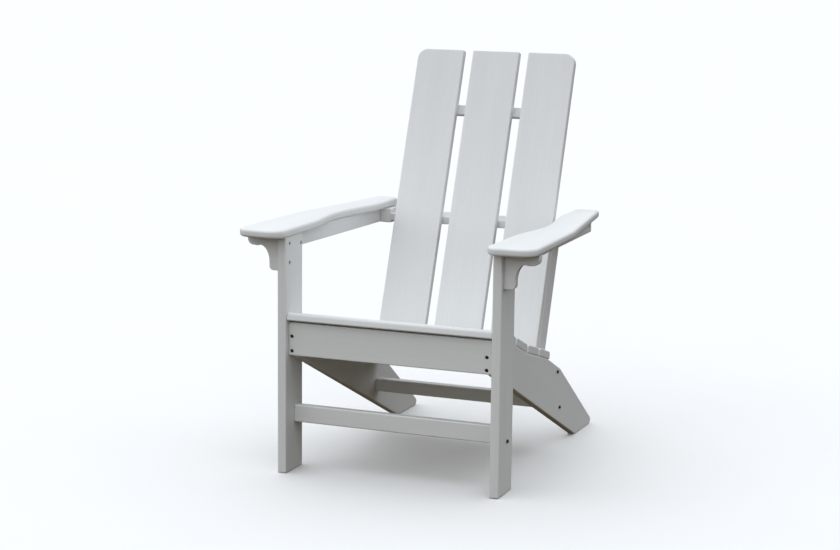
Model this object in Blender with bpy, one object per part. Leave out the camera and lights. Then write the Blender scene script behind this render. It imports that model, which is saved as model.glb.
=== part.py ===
"""Adirondack chair made of plastic-lumber boards, as separate screwed pieces.

Frame: metres, +X to the right of someone who faces the chair, +Y to the rear, +Z up.
The pieces are drawn with y = 0 at the front of the front legs, and the whole chair is
then centred over the origin, standing on z = 0.
"""
import math

import bmesh
import bpy
from mathutils import Matrix, Vector

# ---- stock and clearances ----
BOARD = 0.020                # thickness of every board
GAP = 0.0003                 # clearance between two pieces that touch
EDGE = 0.003                 # rounded edge of a board
EDGE_STEPS = 2               # facets across a rounded edge

# ---- front legs ----
LEG_SPAN = 0.556             # across the outer faces of the front legs
LEG_BOARD = 0.022            # thickness of a leg
LEG_DEPTH = 0.092            # front to back
ARM_UNDERSIDE = 0.566        # height of the arms' undersides over the middle of the legs
ARM_FALL = math.radians(0.42)    # slope of the arms down to the rear

# ---- seat ----
SEAT_FRONT = (0.006, 0.389)  # y, z of the upper front corner of the first seat slat
SEAT_SLAT_WIDTH = 0.082
SEAT_SLAT_GAP = 0.008
SEAT_SLOPES = (12, 19, 22, 16, 17)   # degrees that each slat falls to the rear
NOSE = 0.009                 # rounding of the seat's front and rear upper edges
SEAT_ROUND = 0.006           # rounding of the other upper edges of the seat slats
SEAT_UNDER_ROUND = 0.0036

# ---- stringers, which run from the front legs to the floor behind ----
UNDERSIDE_SLOPE = math.radians(24.5)
HEEL_FRONT_Y = 0.643         # where the underside reaches the floor
HEEL_SLOPE = math.radians(34.92)
HEEL_KINK = (0.512, 0.1983)  # y, z where the upper edge turns down to the heel
HEEL_ROUND = 0.010

# ---- apron and stretchers ----
APRON_SETBACK = 0.015
APRON_BOTTOM = 0.2834
APRON_HEIGHT = 0.0794
STRETCHER_HEIGHT = 0.042
STRETCHER_SETBACK = 0.044
STRETCHER_BOTTOM = 0.1165
REAR_STRETCHER_FOOT = (0.488, 0.0980)
REAR_STRETCHER_HEIGHT = 0.033
REAR_STRETCHER_DEPTH = 0.026

# ---- back ----
BACK_RAKE = math.radians(20.3)          # lean of the slats from upright
BACK_FOOT_Y = 0.348                     # where the slats' front plane meets the floor
BACK_SLAT_WIDTH = 0.125
BACK_SLAT_GAP = 0.025
BACK_LENGTH_TOP = 1.031                 # along the slats from the floor line to their tops
BACK_SLAT_BELOW_RAIL = 0.003
BACK_CORNER = 0.026                     # rounding of the two outer top corners
LOWER_RAIL_AT = 0.218                   # along the slats, underside of the lower rail
LOWER_RAIL_WIDTH = 0.068
LOWER_RAIL_SCREW = 0.0130               # from its underside to its screws
UPPER_RAIL_AT = 0.864
UPPER_RAIL_HEIGHT = 0.026
UPPER_RAIL_INSET = 0.010                # from the outer edge of the back
POST_DEPTH = 0.055
MIDDLE_RAIL_BELOW_ARM = 0.0355          # its underside under the arms' undersides
MIDDLE_RAIL_BOTTOM = ARM_UNDERSIDE - MIDDLE_RAIL_BELOW_ARM
MIDDLE_RAIL_WIDTH = 0.082

# ---- arms, their supports, end blocks and brackets ----
ARM_EDGE = 0.007             # round-over of the arms
ARM_FRONT = (-0.049, -0.041)  # y at the inner corner and at the outer corner
ARM_REAR = (0.650, 0.660)    # the same for the rear edge
ARM_OUTER_OVERHANG = 0.090   # past the outer face of the leg
ARM_INNER_OVERHANG = 0.006   # past the inner face of the leg
ARM_TAPER = 0.012            # lost from the outer side between the front and the bend
ARM_BEND_Y = 0.280
ARM_WAIST = (0.320, 0.019)   # y, and how far the inner edge draws outwards there
ARM_WAIST_START_Y = 0.130
ARM_TAIL_Y = 0.545
ARM_TAIL_COVER = 0.009       # from the block's inner face to the arm's inner edge
ARM_TAIL_OVERHANG = 0.019    # past the outer face of the support
SUPPORT_HEIGHT = 0.037
SUPPORT_REAR = 0.657
BLOCK_OFFSET = 0.0205        # from the side of the back to the block
BLOCK_WIDTH = 0.028
BLOCK_HEIGHT = 0.037
BLOCK_SETBACK = 0.002        # behind the front edge of the middle rail
BRACKET_SETBACK = 0.013
BRACKET_REACH = 0.083
BRACKET_HEIGHT = 0.082
BRACKET_FOOT = 0.0268        # width of its lower end

# ---- screws ----
HEAD_RADIUS = 0.0042
HEAD_HEIGHT = 0.0030
SHANK_RADIUS = 0.0022
HEAD_RECESS = 0.0012         # from the board's face down to the head
SCREW_SIDES = 10
APRON_SCREW_INSET = {"left": 0.0080, "right": 0.0160}    # from the stringer's outer face
APRON_SCREW_RISE = {"left": (0.58, 0.14), "right": (0.50, 0.12)}         # share of the apron's height

# ---- places worked out from the sizes above ----
LEG_OUT = LEG_SPAN / 2
LEG_IN = LEG_OUT - LEG_BOARD
STRINGER_OUT = LEG_IN - GAP
STRINGER_IN = STRINGER_OUT - BOARD
STRINGER_FRONT = APRON_SETBACK + BOARD + GAP
BACK_OUT = 1.5 * BACK_SLAT_WIDTH + BACK_SLAT_GAP
BLOCK_IN = BACK_OUT + BLOCK_OFFSET
BLOCK_OUT = BLOCK_IN + BLOCK_WIDTH
SIDES = (("left", -1), ("right", 1))

LUMBER = ((0.80, 0.81, 0.81, 1.0), 0.55, 0.0)
STEEL = ((0.10, 0.09, 0.08, 1.0), 0.40, 1.0)

cutters = {}


def material(name, colour, roughness, metallic):
    made = bpy.data.materials.new(name)
    made.use_nodes = True
    shader = made.node_tree.nodes["Principled BSDF"]
    shader.inputs["Base Color"].default_value = colour
    shader.inputs["Roughness"].default_value = roughness
    shader.inputs["Metallic"].default_value = metallic
    made.diffuse_color = colour
    return made


def add_object(name, mesh, place, finish):
    piece = bpy.data.objects.new(name, mesh)
    bpy.context.scene.collection.objects.link(piece)
    piece.matrix_world = place
    piece.data.materials.append(material(name + "_finish", *finish))
    return piece


def filleted(corners, steps=5):
    """Polygon whose corners (u, v, radius) are replaced by arcs."""
    outline = []
    count = len(corners)
    for index, (u, v, radius) in enumerate(corners):
        here = Vector((u, v))
        if radius == 0:
            outline.append((u, v))
            continue
        before = (Vector(corners[index - 1][:2]) - here).normalized()
        after = (Vector(corners[(index + 1) % count][:2]) - here).normalized()
        half = before.angle(after) / 2
        centre = here + (before + after).normalized() * radius / math.sin(half)
        start = here + before * radius / math.tan(half) - centre
        end = here + after * radius / math.tan(half) - centre
        turn = start.angle_signed(end)
        for step in range(steps + 1):
            spoke = start.copy()
            spoke.rotate(Matrix.Rotation(-turn * step / steps, 2))
            outline.append(tuple(centre + spoke))
    return outline


def board(name, outline, thickness, place, edge=EDGE):
    """Outline in the local XY plane, extruded up by the thickness, with rounded edges."""
    form = bmesh.new()
    face = form.faces.new([form.verts.new((u, v, 0)) for u, v in outline])
    raised = bmesh.ops.extrude_face_region(form, geom=[face])["geom"]
    lifted = [item for item in raised if isinstance(item, bmesh.types.BMVert)]
    bmesh.ops.translate(form, verts=lifted, vec=(0, 0, thickness))
    bmesh.ops.recalc_face_normals(form, faces=form.faces)
    mesh = bpy.data.meshes.new(name)
    form.to_mesh(mesh)
    form.free()
    piece = add_object(name, mesh, place, LUMBER)
    rounding = piece.modifiers.new("rounded edges", "BEVEL")
    rounding.width = edge
    rounding.segments = EDGE_STEPS
    rounding.limit_method = "ANGLE"
    rounding.angle_limit = math.radians(40)
    return piece


def frame(u_axis, v_axis, w_axis, origin):
    """Matrix that sends local X, Y, Z to the three axes, from the origin."""
    turned_axes = Matrix((u_axis, v_axis, w_axis)).transposed()
    return Matrix.Translation(origin) @ turned_axes.to_4x4()


def board_along_x(name, outline_yz, x_from, x_to, edge=EDGE):
    place = frame((0, 1, 0), (0, 0, 1), (1, 0, 0), (x_from, 0, 0))
    return board(name, outline_yz, x_to - x_from, place, edge)


def board_in_arm_plane(name, outline_xy, z_from, z_to, edge=EDGE):
    along = (0, math.cos(ARM_FALL), -math.sin(ARM_FALL))
    up = (0, math.sin(ARM_FALL), math.cos(ARM_FALL))
    lift = (LEG_DEPTH / 2) * math.tan(ARM_FALL)
    place = frame((1, 0, 0), along, up, (0, 0, z_from + lift))
    return board(name, outline_xy, z_to - z_from, place, edge)


def rectangle(u_from, u_to, v_from, v_to):
    return [(u_from, v_from), (u_to, v_from), (u_to, v_to), (u_from, v_to)]


def back_point(along, behind):
    """World (y, z) of a point up the slats from the floor line and behind their front."""
    y = BACK_FOOT_Y + along * math.sin(BACK_RAKE) + behind * math.cos(BACK_RAKE)
    z = along * math.cos(BACK_RAKE) - behind * math.sin(BACK_RAKE)
    return y, z


def back_section(along_from, along_to, behind_from, behind_to):
    return [back_point(along, behind) for along, behind in
            rectangle(along_from, along_to, behind_from, behind_to)]


# ---- seat ----
def seat_chain():
    """Upper front corner, run direction and upward normal of each seat slat, in (y, z)."""
    chain = []
    corner = Vector(SEAT_FRONT)
    for index, slope in enumerate(SEAT_SLOPES):
        angle = math.radians(slope)
        run = Vector((math.cos(angle), -math.sin(angle)))
        chain.append((corner.copy(), run, Vector((math.sin(angle), math.cos(angle)))))
        after = SEAT_SLOPES[min(index + 1, len(SEAT_SLOPES) - 1)]
        between = math.radians((slope + after) / 2)
        step = Vector((math.cos(between), -math.sin(between))) * SEAT_SLAT_GAP
        corner = corner + run * SEAT_SLAT_WIDTH + step
    return chain


def make_seat_slats():
    for index, (corner, run, normal) in enumerate(seat_chain()):
        under = corner - normal * BOARD
        far = under + run * SEAT_SLAT_WIDTH
        top_far = far + normal * BOARD
        front = NOSE if index == 0 else SEAT_ROUND
        rear = NOSE if index == 4 else SEAT_ROUND
        section = [(*under, SEAT_UNDER_ROUND), (*far, SEAT_UNDER_ROUND),
                   (*top_far, rear), (*corner, front)]
        board_along_x(f"seat_slat_{index + 1}", filleted(section), -STRINGER_OUT, STRINGER_OUT)


def stringer_outline():
    underside = [(STRINGER_FRONT, (HEEL_FRONT_Y - STRINGER_FRONT) * math.tan(UNDERSIDE_SLOPE), 0),
                 (HEEL_FRONT_Y, 0, 0)]
    kink_y, kink_z = HEEL_KINK
    heel = [(kink_y + kink_z / math.tan(HEEL_SLOPE), 0, HEEL_ROUND), (kink_y, kink_z, 0)]
    seat = []
    for index, (corner, run, normal) in reversed(list(enumerate(seat_chain()))):
        front = corner - normal * (BOARD + GAP)
        rear = front + run * SEAT_SLAT_WIDTH
        if index == 0:
            front = front + run * (STRINGER_FRONT - front.x) / run.x
        seat += [(*rear, 0), (*front, 0)]
    return filleted(underside + heel + seat)


def make_stringers():
    outline = stringer_outline()
    board_along_x("seat_stringer_left", outline, -STRINGER_OUT, -STRINGER_IN)
    board_along_x("seat_stringer_right", outline, STRINGER_IN, STRINGER_OUT)


def rear_stretcher_section():
    y, z = REAR_STRETCHER_FOOT
    return rectangle(y, y + REAR_STRETCHER_DEPTH, z, z + REAR_STRETCHER_HEIGHT)


def make_cross_members():
    between_legs = LEG_IN - GAP
    between_stringers = STRINGER_IN - GAP
    apron = rectangle(APRON_SETBACK, APRON_SETBACK + BOARD,
                      APRON_BOTTOM, APRON_BOTTOM + APRON_HEIGHT)
    board_along_x("seat_apron", apron, -between_legs, between_legs)
    stretcher = rectangle(STRETCHER_SETBACK, STRETCHER_SETBACK + BOARD,
                          STRETCHER_BOTTOM, STRETCHER_BOTTOM + STRETCHER_HEIGHT)
    board_along_x("front_stretcher", stretcher, -between_legs, between_legs)
    board_along_x("rear_stretcher", rear_stretcher_section(), -between_stringers,
                  between_stringers)


def arm_underside(y):
    """Height of an arm's underside, which falls a little to the rear."""
    return ARM_UNDERSIDE + (LEG_DEPTH / 2 - y) * math.tan(ARM_FALL)


def make_legs():
    side_view = rectangle(0, LEG_DEPTH, 0, 0)[:2]
    side_view += [(y, arm_underside(y) - GAP) for y in (LEG_DEPTH, 0)]
    board_along_x("front_leg_left", side_view, -LEG_OUT, -LEG_IN)
    board_along_x("front_leg_right", side_view, LEG_IN, LEG_OUT)


# ---- back ----
def make_back_slats():
    foot = LOWER_RAIL_AT - BACK_SLAT_BELOW_RAIL
    up = (0, math.sin(BACK_RAKE), math.cos(BACK_RAKE))
    forward = (0, -math.cos(BACK_RAKE), math.sin(BACK_RAKE))
    rear_y, rear_z = back_point(0, BOARD)
    place = frame((1, 0, 0), up, forward, (0, rear_y, rear_z))
    pitch = BACK_SLAT_WIDTH + BACK_SLAT_GAP
    for name, step, left_round, right_round in (("left", -1, BACK_CORNER, 0),
                                                ("centre", 0, 0, 0),
                                                ("right", 1, 0, BACK_CORNER)):
        x_from = step * pitch - BACK_SLAT_WIDTH / 2
        x_to = x_from + BACK_SLAT_WIDTH
        corners = [(x_from, foot, 0), (x_to, foot, 0),
                   (x_to, BACK_LENGTH_TOP, right_round), (x_from, BACK_LENGTH_TOP, left_round)]
        board(f"back_slat_{name}", filleted(corners, 8), BOARD, place)


def middle_rail_front():
    """The rail's upper front edge just clears the rear face of the slats."""
    top = MIDDLE_RAIL_BOTTOM + BOARD
    return BACK_FOOT_Y + top * math.tan(BACK_RAKE) + (BOARD + GAP) / math.cos(BACK_RAKE)


def make_back_rails():
    behind = BOARD + GAP
    lower = back_section(LOWER_RAIL_AT, LOWER_RAIL_AT + BOARD, behind, behind + LOWER_RAIL_WIDTH)
    board_along_x("back_rail_lower", lower, -STRINGER_IN + GAP, STRINGER_IN - GAP)
    upper = back_section(UPPER_RAIL_AT, UPPER_RAIL_AT + UPPER_RAIL_HEIGHT, behind, behind + BOARD)
    reach = BACK_OUT - UPPER_RAIL_INSET
    board_along_x("back_rail_upper", upper, -reach, reach)
    front = middle_rail_front()
    middle = rectangle(front, front + MIDDLE_RAIL_WIDTH,
                       MIDDLE_RAIL_BOTTOM, MIDDLE_RAIL_BOTTOM + BOARD)
    board_along_x("back_rail_middle", middle, -BLOCK_IN + GAP, BLOCK_IN - GAP)


def make_posts():
    """Posts stand on the lower rail and carry the middle rail, behind the outer slats."""
    foot = LOWER_RAIL_AT + BOARD + GAP
    near, far = BOARD + GAP, BOARD + GAP + POST_DEPTH
    head = MIDDLE_RAIL_BOTTOM - GAP
    top = [(head + behind * math.sin(BACK_RAKE)) / math.cos(BACK_RAKE) for behind in (near, far)]
    side_view = [back_point(foot, near), back_point(foot, far),
                 back_point(top[1], far), back_point(top[0], near)]
    board_along_x("back_post_left", side_view, -BACK_OUT, -BACK_OUT + BOARD)
    board_along_x("back_post_right", side_view, BACK_OUT - BOARD, BACK_OUT)


# ---- arms ----
def support_inner_x(y):
    """Inner face of the arm support: flat on the leg, then drawn in towards the block."""
    at_leg = LEG_OUT + GAP
    at_rear = BLOCK_OUT + GAP
    share = max(0.0, (y - LEG_DEPTH) / (SUPPORT_REAR - LEG_DEPTH))
    return at_leg + (at_rear - at_leg) * share


def eased(y_from, x_from, y_to, x_to, steps=6):
    """Points of a smooth S between two straight stretches, without its first end."""
    curve = []
    for step in range(1, steps + 1):
        share = step / steps
        ease = (1 - math.cos(math.pi * share)) / 2
        curve.append((x_from + (x_to - x_from) * ease, y_from + (y_to - y_from) * share, 0))
    return curve


def arm_outline(side):
    outer = LEG_OUT + ARM_OUTER_OVERHANG
    inner = LEG_IN - ARM_INNER_OVERHANG
    waist_y, waist_draw = ARM_WAIST
    waist = inner + waist_draw
    tail_in = BLOCK_IN + ARM_TAIL_COVER
    tail_out = support_inner_x(ARM_REAR[1]) + BOARD + ARM_TAIL_OVERHANG
    corners = [(inner, ARM_FRONT[0], 0.032), (outer, ARM_FRONT[1], 0.036),
               (outer - ARM_TAPER, ARM_BEND_Y, 0.300),
               (tail_out, ARM_REAR[1], 0.006), (tail_in, ARM_REAR[0], 0.018),
               (tail_in, ARM_TAIL_Y, 0)]
    corners += eased(ARM_TAIL_Y, tail_in, waist_y, waist)
    corners += eased(waist_y, waist, ARM_WAIST_START_Y, inner)
    return [(side * u, v) for u, v in filleted(corners, 6)]


def support_outline(side):
    front = BRACKET_SETBACK + BOARD + GAP
    inner = [(support_inner_x(y), y) for y in (front, LEG_DEPTH, SUPPORT_REAR)]
    outer = [(x + BOARD, y) for x, y in reversed(inner)]
    return [(side * u, v) for u, v in inner + outer]


def block_outline(side):
    front = middle_rail_front() + BLOCK_SETBACK
    rear = middle_rail_front() + MIDDLE_RAIL_WIDTH
    plan = [(BLOCK_IN, front), (support_inner_x(front) - GAP, front),
            (support_inner_x(rear) - GAP, rear), (BLOCK_IN, rear)]
    return [(side * u, v) for u, v in plan]


def quarter(centre_u, centre_v, radius_u, radius_v, from_degrees, to_degrees, steps=7):
    """Points of an elliptical quarter."""
    points = []
    for step in range(steps + 1):
        angle = math.radians(from_degrees + (to_degrees - from_degrees) * step / steps)
        points.append((centre_u + radius_u * math.cos(angle),
                       centre_v + radius_v * math.sin(angle)))
    return points


def bracket_outline():
    """Front view of a bracket, u outwards from the leg and v up from its foot.

    A hollow quarter rises from the foot, a small fillet bead ends it, and a round
    quarter carries it out under the arm.
    """
    hollow_width, hollow_height = 0.024, 0.038
    hollow_base = 0.020
    bead = 0.010
    ovolo = 0.0155
    foot_round = 0.010
    foot = quarter(BRACKET_FOOT - foot_round, foot_round, foot_round, foot_round, -90, 0, 4)
    hollow = quarter(BRACKET_FOOT + hollow_width, hollow_base, hollow_width, hollow_height,
                     180, 90)
    shelf = hollow_base + hollow_height
    ovolo_centre = BRACKET_REACH - ovolo
    neck = [(BRACKET_FOOT + hollow_width + bead * 0.6, shelf - 0.0018)]
    outer = quarter(ovolo_centre, shelf + ovolo - 0.001, ovolo, ovolo, -90, 0, 5)
    top = [(BRACKET_REACH, BRACKET_HEIGHT), (0, BRACKET_HEIGHT)]
    return [(0, 0)] + foot + hollow + neck + outer + top


def make_arms():
    for name, side in SIDES:
        board_in_arm_plane(f"arm_{name}", arm_outline(side), ARM_UNDERSIDE, ARM_UNDERSIDE + BOARD,
                   ARM_EDGE)
        top = ARM_UNDERSIDE - GAP
        board_in_arm_plane(f"arm_support_{name}", support_outline(side), top - SUPPORT_HEIGHT, top)
        board_in_arm_plane(f"arm_block_{name}", block_outline(side), top - BLOCK_HEIGHT, top)
        outline = [(side * (LEG_OUT + GAP + u), top - BRACKET_HEIGHT + v)
                   for u, v in bracket_outline()]
        rear = BRACKET_SETBACK + BOARD
        place = frame((1, 0, 0), (0, 0, 1), (0, -1, 0), (0, rear, 0))
        board(f"arm_bracket_{name}", outline, BOARD, place, EDGE / 2)


# ---- screws ----
def turned(name, profile):
    """Closed solid turned about local Z from (radius, height) steps."""
    form = bmesh.new()
    rings = []
    for radius, height in profile:
        ring = []
        for side in range(SCREW_SIDES):
            angle = 2 * math.pi * side / SCREW_SIDES
            ring.append(form.verts.new((radius * math.cos(angle), radius * math.sin(angle),
                                        height)))
        rings.append(ring)
    for lower, upper in zip(rings, rings[1:]):
        for side in range(SCREW_SIDES):
            after = (side + 1) % SCREW_SIDES
            form.faces.new((lower[side], lower[after], upper[after], upper[side]))
    form.faces.new(rings[0])
    form.faces.new(rings[-1])
    bmesh.ops.recalc_face_normals(form, faces=form.faces)
    mesh = bpy.data.meshes.new(name)
    form.to_mesh(mesh)
    form.free()
    return mesh


def screw(name, at, towards, length, *boards):
    """Screw whose head sinks into a board's face at a point, and the holes that it needs."""
    place = Matrix.Translation(at) @ Vector(towards).to_track_quat("Z", "Y").to_matrix().to_4x4()
    shoulder = HEAD_RECESS + HEAD_HEIGHT
    body = [(HEAD_RADIUS, HEAD_RECESS), (HEAD_RADIUS, shoulder),
            (SHANK_RADIUS, shoulder), (SHANK_RADIUS, length)]
    add_object(name, turned(name, body), place, STEEL)
    outside = -0.003
    hole = [(HEAD_RADIUS + GAP, outside), (HEAD_RADIUS + GAP, shoulder + GAP),
            (SHANK_RADIUS + GAP, shoulder + GAP), (SHANK_RADIUS + GAP, length + GAP)]
    for board_name in boards:
        cutters.setdefault(board_name, []).append((place, hole))


def cut_screw_holes():
    for board_name, holes in cutters.items():
        form = bmesh.new()
        for place, profile in holes:
            single = turned("hole", profile)
            single.transform(place)
            form.from_mesh(single)
            bpy.data.meshes.remove(single)
        mesh = bpy.data.meshes.new(board_name + "_holes")
        form.to_mesh(mesh)
        form.free()
        tool = bpy.data.objects.new(board_name + "_holes", mesh)
        bpy.context.scene.collection.objects.link(tool)
        tool.hide_render = True
        tool.display_type = "WIRE"
        cut = bpy.data.objects[board_name].modifiers.new("screw holes", "BOOLEAN")
        cut.operation = "DIFFERENCE"
        cut.solver = "EXACT"
        cut.object = tool


def make_screws():
    middle = BOARD / 2
    top = ARM_UNDERSIDE - GAP
    rail_front = middle_rail_front()
    foot_y, foot_z = REAR_STRETCHER_FOOT
    stretcher_screw = (foot_y + 0.0174, foot_z + 0.0036)
    lower_mid = back_point(LOWER_RAIL_AT + LOWER_RAIL_SCREW, BOARD + GAP + LOWER_RAIL_WIDTH / 2 + 0.005)
    for name, side in SIDES:
        inward, outward = (-side, 0, 0), (side, 0, 0)
        leg, stringer = f"front_leg_{name}", f"seat_stringer_{name}"
        support, block = f"arm_support_{name}", f"arm_block_{name}"
        bracket = f"arm_bracket_{name}"
        apron_screw_x = side * (STRINGER_OUT - APRON_SCREW_INSET[name])
        for label, share in zip(("upper", "lower"), APRON_SCREW_RISE[name]):
            screw(f"screw_apron_{name}_{label}",
                  (apron_screw_x, APRON_SETBACK, APRON_BOTTOM + APRON_HEIGHT * share),
                  (0, 1, 0), 0.042, "seat_apron", stringer)
        bracket_y = BRACKET_SETBACK + middle
        for label, drop in (("upper", 0.017), ("lower", 0.062)):
            screw(f"screw_bracket_{name}_{label}", (side * LEG_IN, bracket_y, top - drop),
                  outward, 0.038, leg, bracket)
        screw(f"screw_support_{name}_front",
              (side * LEG_IN, LEG_DEPTH - 0.0075, top - SUPPORT_HEIGHT * 0.64),
              outward, 0.034, leg, support)
        rail_screw_y = rail_front + MIDDLE_RAIL_WIDTH * 0.8
        support_face = support_inner_x(rail_screw_y) + BOARD
        screw(f"screw_support_{name}_rear",
              (side * support_face, rail_screw_y, MIDDLE_RAIL_BOTTOM + middle),
              inward, support_face - BLOCK_IN + 0.030, support, block, "back_rail_middle")
        screw(f"screw_stretcher_{name}",
              (side * LEG_OUT, STRETCHER_SETBACK + middle, STRETCHER_BOTTOM + 0.007),
              inward, 0.055, leg, "front_stretcher")
        screw(f"screw_rear_stretcher_{name}", (side * STRINGER_OUT, *stretcher_screw),
              inward, 0.050, stringer, "rear_stretcher")
        screw(f"screw_lower_rail_{name}", (side * STRINGER_OUT, *lower_mid),
              inward, 0.050, stringer, "back_rail_lower")
        for label, height in (("upper", 0.325), ("lower", 0.290)):
            screw(f"screw_leg_{name}_{label}", (side * STRINGER_IN, 0.078, height),
                  outward, 0.034, stringer, leg)
    rail_back = BOARD + GAP + BOARD
    y, z = back_point(UPPER_RAIL_AT + UPPER_RAIL_HEIGHT / 2, rail_back)
    forward = (0, -math.cos(BACK_RAKE), math.sin(BACK_RAKE))
    pitch = BACK_SLAT_WIDTH + BACK_SLAT_GAP
    for name, step in (("left", -1), ("centre", 0), ("right", 1)):
        for label, offset in (("a", -0.25), ("b", 0.25)):
            x = step * pitch + offset * BACK_SLAT_WIDTH
            screw(f"screw_back_{name}_{label}", (x, y, z), forward, 0.032,
                  "back_rail_upper", f"back_slat_{name}")


def centre_on_floor():
    """Hangs every piece on one empty and moves it so the chair is centred on the origin."""
    origin = bpy.data.objects.new("chair_origin", None)
    bpy.context.scene.collection.objects.link(origin)
    bpy.context.view_layer.update()
    reach = []
    for piece in bpy.data.objects:
        if piece.type != "MESH":
            continue
        piece.parent = origin
        if not piece.hide_render:
            reach += [(piece.matrix_world @ vertex.co).y for vertex in piece.data.vertices]
    origin.location.y = -(min(reach) + max(reach)) / 2


def main():
    for old in list(bpy.data.objects):
        bpy.data.objects.remove(old)
    make_seat_slats()
    make_stringers()
    make_cross_members()
    make_legs()
    make_back_slats()
    make_back_rails()
    make_posts()
    make_arms()
    make_screws()
    cut_screw_holes()
    centre_on_floor()


main()
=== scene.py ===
# %% [markdown]
# # A garden armchair of plastic-lumber boards
#
# The chair is a low, raked garden armchair. It is made of boards of extruded HDPE lumber,
# each cut to an outline and rounded along its edges, and held with steel screws. The packed
# CAD model gives the place of every piece. Here each board is made again with finer edges,
# real screw recesses and a surface that shows the lengthwise grain of extruded plastic.

# %% Load the frame
import math
import random

import bmesh
import bpy
import numpy as np
from mathutils import Matrix, Vector


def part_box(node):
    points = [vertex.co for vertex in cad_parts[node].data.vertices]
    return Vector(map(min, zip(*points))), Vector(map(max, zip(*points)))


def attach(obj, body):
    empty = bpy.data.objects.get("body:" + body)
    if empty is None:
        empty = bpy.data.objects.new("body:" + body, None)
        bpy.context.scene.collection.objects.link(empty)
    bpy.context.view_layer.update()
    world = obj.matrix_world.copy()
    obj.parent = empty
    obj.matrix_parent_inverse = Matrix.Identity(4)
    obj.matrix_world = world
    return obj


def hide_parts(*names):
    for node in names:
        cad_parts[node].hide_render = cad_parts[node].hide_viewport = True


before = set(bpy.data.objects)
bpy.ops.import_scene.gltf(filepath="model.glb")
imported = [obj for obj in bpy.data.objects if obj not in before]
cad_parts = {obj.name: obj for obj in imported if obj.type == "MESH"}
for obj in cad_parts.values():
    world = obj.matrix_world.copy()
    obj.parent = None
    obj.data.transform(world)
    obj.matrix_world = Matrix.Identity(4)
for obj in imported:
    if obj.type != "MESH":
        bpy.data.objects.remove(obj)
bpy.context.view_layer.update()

print("CAD pieces:", len(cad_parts))

# %% [markdown]
# ## Driving sizes
#
# Nearly all boards are cut from one thickness of stock, and the legs are a little stouter.
# The legs' span and the height of the arms set where everything else goes. The outlines
# are drawn with y = 0 at the front of the legs, which is where a joiner would measure from.
# `SHIFT` then carries them to the place that the frame gives the legs. Left and right are
# those of a person who faces the chair, and left is towards -X.

# %% Stock, legs and stringers, in metres
BOARD = 0.020
GAP = 0.0003              # clearance between boards that touch
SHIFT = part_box("front_leg_left")[0].y

LEG_SPAN = 0.556
LEG_BOARD = 0.022
LEG_DEPTH = 0.092
LEG_OUT = LEG_SPAN / 2
LEG_IN = LEG_OUT - LEG_BOARD
ARM_UNDERSIDE = 0.566
STRINGER_OUT = LEG_IN - GAP
STRINGER_IN = STRINGER_OUT - BOARD
SIDES = (("left", -1), ("right", 1))
print(f"the legs' front faces stand at y = {SHIFT:.4f} m")
print(f"the seat is {2 * LEG_IN:.3f} m wide between the legs")

# %% [markdown]
# ## Colour
#
# Colours are written as the hex values a designer would pick on a screen. Cycles works in
# linear light, so one function turns them over.


# %% Hex colour to linear light
def linear(hex_code, alpha=1.0):
    """Linear RGBA of an sRGB hex colour."""
    channels = [int(hex_code[i:i + 2], 16) / 255 for i in (0, 2, 4)]
    curve = [c / 12.92 if c <= 0.04045 else ((c + 0.055) / 1.055) ** 2.4 for c in channels]
    return (*curve, alpha)


print("mid grey 808080 in linear light:", [round(c, 3) for c in linear("808080")[:3]])

# %% [markdown]
# ## Adding nodes
#
# Materials and geometry trees are both graphs. One small function adds a node, sets its
# properties and fills its sockets, either with a value or with a link from another node.


# %% One function for every node
def add_node(tree, kind, sockets=None, **settings):
    """Adds a node. A socket takes a value, or another node's output to link from."""
    made = tree.nodes.new(kind)
    for name, value in settings.items():
        setattr(made, name, value)
    for name, value in (sockets or {}).items():
        if isinstance(value, bpy.types.NodeSocket):
            tree.links.new(value, made.inputs[name])
        else:
            made.inputs[name].default_value = value
    return made


def new_material(name):
    """A material with its node tree and its Principled shader."""
    made = bpy.data.materials.new(name)
    made.use_nodes = True
    return made, made.node_tree, made.node_tree.nodes["Principled BSDF"]


trial, trial_tree, trial_shader = new_material("trial")
print("a new material has", len(trial_tree.nodes), "nodes; one of them is", trial_shader.name)
bpy.data.materials.remove(trial)

# %% [markdown]
# ## Textured HDPE lumber
#
# Plastic lumber is extruded polyethylene with white pigment through and through. The die
# and a brushing roller leave fine lines along the board, and the skin cools to a soft
# satin. Faint broad streaks along each board are painted sheen: lighter and darker colour
# that stands in for the soft reflection of the surroundings. From a few steps away the eye
# sees an even, soft white. Sawn ends are a little duller, and rounded edges are made a
# touch smoother by the router and by hands; their colour is also lifted a little, a
# painted highlight along the edges.
#
# A pattern on Object coordinates would run the same way through every board. This one has
# to follow each board, whichever way it lies, so every board carries an attribute
# `board_at`: the place on the board in metres, first along its length. A second attribute,
# `rubbed`, marks the rounded edges, which are made smoother and carry the painted
# highlight, and a third, `sawn`, the cut ends.

# %% The lumber's patterns
# size in metres along the board, across it and out of its face, then detail and roughness
PATTERNS = {
    "lines": (0.160, 0.0030, 0.0030, 3.0, 0.6),     # left by the die and the roller
    "bands": (0.750, 0.0800, 0.0800, 1.0, 0.5),     # painted sheen: broad streaks that stand in for reflected light
    "speckle": (0.006, 0.0060, 0.0060, 2.0, 0.5),   # mottling of the pigment
    "tooth": (0.0009, 0.0009, 0.0009, 2.0, 0.5),    # matte skin, drawn coarse enough to show
    "saw": (math.inf, 0.00275, 0.0011, 2.0, 0.5),   # the saw's marks on a cut end
}


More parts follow.
